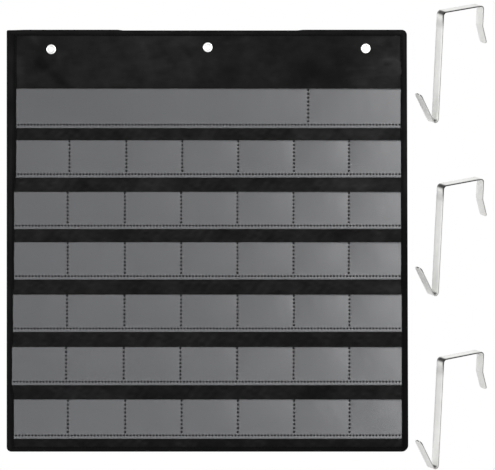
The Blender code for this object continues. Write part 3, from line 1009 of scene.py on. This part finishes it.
def make_row_thread(row, material):
    low, high = films[row]
    seam_z = low.z + film_margin
    ends = ((low.x, seam_z), (high.x, seam_z))
    stitches = run_of_stitches(*ends, *front_thread, *level_stitch)
    stitches += run_of_stitches(*ends, *back_thread, *level_back_stitch, back_stitch_offset)
    for seam in row_seams(row):
        top = (seam, high.z + seam_overrun)
        hem = ((seam, seam_z - hem_seam_start), (seam, low.z + hem_seam_end))
        stitches += run_of_stitches(top, (seam, seam_z + seam_stop), *front_thread, *upright_stitch)
        stitches += run_of_stitches(top, (seam, seam_z), *back_thread, *upright_back_stitch)
        stitches += run_of_stitches(*hem, *front_thread, *hem_stitch)
    nodes = (f"row_stitching_{row + 1}",)
    lay_stitches(f"row_thread_{row + 1}", stitches, material, body_of_row(row), nodes)


# The seam that closes the tape: how far in from its inner edge and off it, and a stitch's length and width
tape_seam_inset, tape_seam_lift = 0.0012, 0.00008
tape_stitch = (0.0030, 0.0007)
tape_stitch_shift = 0.0024


def make_tape_thread(material):
    """The tape's seam on the front, and on the back, where it is shifted."""
    stitches = []
    y, upright = tape_half + tape_seam_lift, 0.5 * math.pi
    top, bottom = inner_top - top_tape_slip + tape_seam_inset, inner_bottom - tape_seam_inset
    place = top
    while place > bottom:
        left = chart_left + tape_width("left", min(max(place, inner_bottom), inner_top)) - tape_seam_inset
        right = inner_right + tape_seam_inset + float(right_tape_slip(place))
        for x in (left, right):
            stitches.append((x, -y, place, upright, *tape_stitch, -1))
            stitches.append((x, y, place - tape_stitch_shift, upright, *tape_stitch, 1))
        place -= level_pitch
    place = chart_left + tape_width("left", inner_top)
    while place < inner_right:
        for z in (top, bottom):
            stitches.append((place, -y, z, 0.0, *tape_stitch, -1))
            stitches.append((place + tape_stitch_shift, y, z, 0.0, *tape_stitch, 1))
        place += level_pitch
    nodes = ("binding_stitching_upper", "binding_stitching_lower")
    bend_at_fold(lay_stitches("tape_thread", stitches, material, None, nodes))


# Eyelets

turn_steps = 64
# The barrels are painted darker inside, as painted shade on the inner wall
barrel_painted_shade = 0.10


def turned(name, profile, centre, material, node):
    """A closed section (radius, y) turned about a level axis through centre."""
    points = []
    for step in range(turn_steps):
        angle = math.tau * step / turn_steps
        for radius, y in profile:
            points.append((centre[0] + radius * math.cos(angle), y, centre[1] + radius * math.sin(angle)))
    count = len(profile)
    faces = []
    for step in range(turn_steps):
        here, following = step * count, (step + 1) % turn_steps * count
        for part in range(count):
            beside = (part + 1) % count
            faces.append((here + part, following + part, following + beside, here + beside))
    obj = build(name, points, faces, [material], "chart_upper", (node,))
    edit(obj, close_outwards)
    return obj


def arc(centre, radius_r, radius_y, start, end, count):
    """Points on an ellipse in the plane of radius and y, angles in degrees."""
    return [
        (centre[0] + radius_r * math.cos(math.radians(a)), centre[1] + radius_y * math.sin(math.radians(a)))
        for a in np.linspace(start, end, count)
    ]


def make_eyelet(side, material):
    """A rolled flange in front, a barrel through the cloth, a washer and a curled rim behind."""
    hole, flange, curl, wall = 0.0042, 0.0074, 0.0060, 0.0005
    roll_height, curl_height = 0.0010, 0.0006
    washer_thickness, washer_clearance, bevel = 0.0005, 0.0003, 0.00012
    seat = cloth_thickness / 2 + seat_gap
    washer_back = seat + washer_thickness
    curl_seat = washer_back + seat_gap
    roll = arc(((hole + flange) / 2, -seat), (flange - hole) / 2, roll_height, 0, -180, 15)
    curled = arc(((hole + curl) / 2, curl_seat), (curl - hole) / 2, curl_height, 180, 0, 11)
    profile = roll + curled + [(hole + wall, curl_seat), (hole + wall, -seat)]
    rim = turned(f"eyelet_rim_{side}", profile, eyelets[side], material, f"eyelet_{side}")
    profile_tones = [1.0] * len(profile)
    # Painted shade on the barrel's inner wall
    profile_tones[len(roll) - 1] = profile_tones[len(roll)] = barrel_painted_shade
    keep(rim, "tone", profile_tones * turn_steps)
    inner = hole + wall + washer_clearance
    washer = [
        (inner, seat), (flange - bevel, seat), (flange, seat + bevel),
        (flange, washer_back - bevel), (flange - bevel, washer_back), (inner, washer_back),
    ]
    ring = turned(f"eyelet_ring_{side}", washer, eyelets[side], material, f"eyelet_washer_{side}")
    keep(ring, "tone", [1.0] * len(ring.data.vertices))


# Hooks

hook = {
    "width": 0.0149, "thickness": 0.0015, "door_gap": 0.0787, "leg": 0.1814, "catch_reach": 0.0375,
    "catch_rise": 0.0595, "back_leg": 0.0316, "flare_reach": 0.0102, "flare_drop": 0.0284,
    "bend_radius": 0.0055, "catch_radius": 0.0050, "tip_radius": 0.0045,
}
hook_back_direction = Vector((0.757, 0.638, 0.142))
hook_up_direction = Vector((0.044, -0.266, 0.963))
hook_bevel = 0.00028
bend_steps, tip_steps = 14, 8
station_step = 0.006
cut_edge_slant, sharp_angle = 0.35, 38

# Painted light along the strip, measured from the catch's tip. The cut edge has painted reflections, dark
# over the door and pale on the leg, and each of the two bends in front has a painted dark reflection
hook_bottom_bend, hook_top_bend = 0.0608, 0.2290
# Half-lengths and darkness of the painted dark reflections at the two bends
bottom_dark_reflection, top_dark_reflection, reflection_darkness = 0.0034, 0.0038, 0.95
hook_edge_places = (0.0, 0.004, 0.010, 0.200, 0.218, 0.226, 0.290, 0.304, 0.318, 0.367)
hook_edge_painted_light = (0.03, 0.15, 0.95, 0.95, 0.10, 0.01, 0.01, 0.22, 0.60, 0.75)
# The top and middle catches get painted light against the chart's shade on them; the lowest, below the chart,
# comes out brightest under the lamps
hook_catch_painted_light = {"top": 1.17, "middle": 1.17, "bottom": 1.0}
# The face's right rim has painted shade over the door, from this share of the half-width on
rim_start = 0.9
hook_rim_places, hook_rim_painted_shade = (0.208, 0.220, 0.292, 0.303), (1.0, 0.15, 0.15, 1.0)
# Painted highlights, painted shade and painted reflections along the face
hook_face_places = (
    0.0, 0.055, 0.066, 0.071, 0.076, 0.120, 0.196, 0.207,
    0.211, 0.215, 0.219, 0.232, 0.240, 0.290, 0.303, 0.367,
)
hook_face_painted_light = (
    1.00, 1.00, 1.17, 1.17, 1.12, 1.10, 1.09, 1.02,
    0.80, 0.84, 1.17, 1.10, 1.16, 1.16, 1.01, 0.97,
)


def dark_reflection_at(distance, half_length):
    """1 on a painted dark reflection and 0 beside it, with a short ramp."""
    return math.exp(-((distance / half_length) ** 4))


def hook_face_painted_light_at(place, wide, outside):
    """The face's painted light: painted highlights, painted shade and painted dark reflections. Wide runs
    from -1 at the left edge to 1 at the right one, where the dark reflections fade.
    """
    tone = float(np.interp(place, hook_face_places, hook_face_painted_light))
    if outside and wide > rim_start:
        tone *= float(np.interp(place, hook_rim_places, hook_rim_painted_shade))
    dark_reflection = dark_reflection_at(place - hook_bottom_bend, bottom_dark_reflection) * float(smooth_step(1.3 - wide))
    if outside:
        at_top = dark_reflection_at(place - hook_top_bend, top_dark_reflection) * float(smooth_step(wide * 1.2 + 1.8))
        dark_reflection = max(dark_reflection, at_top)
    return tone * (1 - reflection_darkness * dark_reflection)


def hook_path():
    """The bent strip's middle line from the catch to the flared end, as back distance and height."""
    back = hook["door_gap"] + hook["thickness"]
    leg, back_leg = hook["leg"], hook["back_leg"]
    corners = [
        ((-hook["catch_reach"], -leg + hook["catch_rise"]), 0.0),
        ((0.0, -leg), hook["catch_radius"]),
        ((0.0, 0.0), hook["bend_radius"]),
        ((back, 0.0), hook["bend_radius"]),
        ((back, -back_leg), hook["bend_radius"] * 2),
        ((back + hook["flare_reach"], -back_leg - hook["flare_drop"]), 0.0),
    ]
    path = [Vector(corners[0][0])]
    for (before, _), (corner, radius), (after, _) in zip(corners, corners[1:], corners[2:]):
        here = Vector(corner)
        to_before, to_after = (Vector(before) - here).normalized(), (Vector(after) - here).normalized()
        opening = to_before.angle(to_after)
        centre = here + (to_before + to_after).normalized() * (radius / math.sin(opening / 2))
        run = radius / math.tan(opening / 2)
        start = (here + to_before * run - centre).normalized()
        end = (here + to_after * run - centre).normalized()
        for step in range(bend_steps + 1):
            path.append(centre + start.slerp(end, step / bend_steps).normalized() * radius)
    path.append(Vector(corners[-1][0]))
    return path


def hook_stations():
    """Middle line with the half-width at each point, rounded at both ends of the strip."""
    path = hook_path()
    lengths = np.cumsum([0.0] + [(b - a).length for a, b in zip(path, path[1:])])
    total, radius = lengths[-1], hook["tip_radius"]
    tips = [radius * (1 - math.cos(0.5 * math.pi * step / tip_steps)) for step in range(tip_steps + 1)]
    far_tips = [total - tip for tip in tips]
    between = np.arange(2 * station_step, total - 2 * station_step, station_step)
    places = sorted({*lengths[1:-1], *tips, *far_tips, *between})
    stations = []
    for place in places:
        index = min(int(np.searchsorted(lengths, place, side="right")) - 1, len(path) - 2)
        share = (place - lengths[index]) / (lengths[index + 1] - lengths[index])
        point = path[index].lerp(path[index + 1], share)
        along = (path[index + 1] - path[index]).normalized()
        if share < 0.01:
            before = path[max(index - 1, 0)]
            along = ((path[index] - before).normalized() + along).normalized()
        from_end = min(place, total - place)
        half = hook["width"] / 2
        if from_end < radius:
            half += -radius + math.sqrt(max(radius**2 - (radius - from_end) ** 2, 0.0))
        stations.append((point, along, half, place))
    return stations


def strip_section(half):
    """The strip's section with softened edges, as across and outwards, for its half-width."""
    thick, bevel = hook["thickness"] / 2, hook_bevel
    corner = (half - bevel * 0.3, thick - bevel * 0.3)
    edge = [(half, thick - bevel), corner, (half - bevel, thick), (half * 0.5, thick)]
    ring = []
    for side in (-1, 1):
        ring += [(side * wide, side * out) for wide, out in edge]
        ring += [(-side * wide, side * out) for wide, out in reversed(edge)]
    return ring


def make_hook(level, face_material, edge_material):
    """A strip with softened edges, bent along the middle line. Its cut edges have a material of their own."""
    up = hook_up_direction.normalized()
    across = hook_back_direction.cross(up).normalized()
    back = up.cross(across)
    points, face_painted_lights, edge_painted_lights = [], [], []
    stations = hook_stations()
    for point, along, half, length in stations:
        outwards = Vector((-along.y, along.x))
        # Painted light on the top and middle catches
        catch_painted_light = hook_catch_painted_light[level] if length < hook_bottom_bend else 1.0
        for wide, out in strip_section(half):
            place = point + outwards * out
            points.append(back * place.x + up * place.y + across * wide)
            # Painted highlights, painted shade and painted dark reflections on the face
            face_painted_lights.append(catch_painted_light * hook_face_painted_light_at(length, wide / half, out > 0))
            # Painted reflections along the cut edge
            edge_painted_lights.append(float(np.interp(length, hook_edge_places, hook_edge_painted_light)))
    section = len(points) // len(stations)
    faces = grid_faces(section, len(stations), closed=True).tolist()
    faces += [list(range(section)), list(range(len(points) - section, len(points)))]
    low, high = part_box(f"door_hook_{level}")
    cloud = np.array([tuple(point) for point in points])
    cloud += np.array((low + high) / 2) - (cloud.min(0) + cloud.max(0)) / 2
    materials, nodes = [face_material, edge_material], (f"door_hook_{level}",)
    obj = build(f"steel_hook_{level}", cloud, faces, materials, f"hook_{level}", nodes)
    keep(obj, "face_painted_light", face_painted_lights)
    keep(obj, "edge_painted_light", edge_painted_lights)

    def mark_cut_edges(shape):
        close_outwards(shape)
        for face in shape.faces:
            if abs(face.normal.dot(across)) > cut_edge_slant or len(face.verts) > 4:
                face.material_index = 1

    edit(obj, mark_cut_edges)
    obj.data.set_sharp_from_angle(angle=math.radians(sharp_angle))


# Studio


def make_camera():
    data = bpy.data.cameras.new("camera")
    data.type = "PERSP"
    data.lens, data.sensor_width = lens_mm, sensor_mm
    data.clip_start, data.clip_end = 0.1, 100
    camera = place_in_scene("camera", data)
    camera.location = (frame_middle[0], -frame_width * lens_mm / sensor_mm, frame_middle[1])
    camera.rotation_euler = (math.pi / 2, 0, 0)
    bpy.context.scene.camera = camera


def seen_share(tree):
    """1 where the camera sees a surface, also in a gloss or through a film, and 0 where it only lights."""
    path = add(tree, "LightPath")
    seen = combine(tree, "MAXIMUM", path.outputs["Is Camera Ray"], path.outputs["Is Glossy Ray"])
    return combine(tree, "MAXIMUM", seen, path.outputs["Is Transmission Ray"])


def make_world(ambient):
    """Even light from all round, and white where the camera or a reflection sees past the object."""
    world = bpy.data.worlds.new("studio")
    bpy.context.scene.world = world
    world.use_nodes = True
    tree = world.node_tree
    background = tree.nodes["Background"]
    background.inputs["Color"].default_value = (1, 1, 1, 1)
    strength = combine(tree, "ADD", combine(tree, "MULTIPLY", seen_share(tree), 1 - ambient), ambient)
    tree.links.new(strength, background.inputs["Strength"])


def make_lamp(name, place, target, size, power):
    data = bpy.data.lights.new(name, "AREA")
    data.shape = "RECTANGLE"
    data.size, data.size_y = size
    data.energy = power
    lamp = place_in_scene(name, data)
    lamp.location = place
    lamp.rotation_euler = (Vector(target) - Vector(place)).to_track_quat("-Z", "Y").to_euler()


def make_floor(height, half_width, front, back):
    """Plain pale floor below the picture. It keeps the object's shadow."""
    mesh = bpy.data.meshes.new("floor")
    places = [(-half_width, front), (half_width, front), (half_width, back), (-half_width, back)]
    mesh.from_pydata([(x, y, height) for x, y in places], [], [(0, 1, 2, 3)])
    material, tree, shader = start_material("pale_floor", grey(0.86), 0.9)
    glow = add(tree, "Emission", Strength=1.0)
    mix = add(tree, "MixShader")
    tree.links.new(combine(tree, "MULTIPLY", seen_share(tree), 0.5), mix.inputs["Fac"])
    tree.links.new(shader.outputs["BSDF"], mix.inputs[1])
    tree.links.new(glow.outputs["Emission"], mix.inputs[2])
    tree.links.new(mix.outputs["Shader"], tree.nodes["Material Output"].inputs["Surface"])
    mesh.materials.append(material)
    place_in_scene("floor", mesh)


make_camera()
make_world(ambient=0.58)
make_lamp("right_strip", place=(0.44, -1.80, -0.28), target=(0.15, 0.0, -0.28), size=(0.16, 1.9), power=19.0)
make_lamp("left_fill", place=(-1.6, -1.4, -0.05), target=(0.2, 0.0, -0.25), size=(1.0, 1.0), power=9.0)
make_floor(height=-0.72, half_width=3, front=-3.4, back=1.25)

cloth = cloth_material()
tape = tape_material()
film = film_material()
film_edge = film_edge_material()
thread = thread_material()
nickel = metal_material(
    "bright_nickel", dark=(0.78, 0.78, 0.77), light=(0.88, 0.88, 0.87), metallic=1.0, rough=(0.16, 0.30),
    scratch_scale=(40, 900, 40), tone="tone",
)
steel = metal_material(
    "pale_plated_steel", dark=(0.82, 0.82, 0.80), light=(0.88, 0.88, 0.86), metallic=0.35, rough=(0.26, 0.42),
    scratch_scale=(60, 60, 1400), tone="face_painted_light",
)
steel_edge = metal_material(
    "steel_cut_edge", dark=(0.42, 0.42, 0.41), light=(0.52, 0.52, 0.50), metallic=0.6, rough=(0.30, 0.50),
    scratch_scale=(1400, 60, 60), tone="edge_painted_light",
)

make_cloth(cloth)
outline = outline_stations()
for tape_side, nodes_of_tape in tape_nodes.items():
    make_tape(tape_side, nodes_of_tape, run_of_side(outline, tape_side), tape)
for row_index in range(rows):
    make_film(row_index, film, film_edge)
    make_row_thread(row_index, thread)
make_tape_thread(thread)
for eyelet_side in sides:
    make_eyelet(eyelet_side, nickel)
for hook_level in levels:
    make_hook(hook_level, steel, steel_edge)

bpy.context.scene.view_settings.view_transform = "Standard"
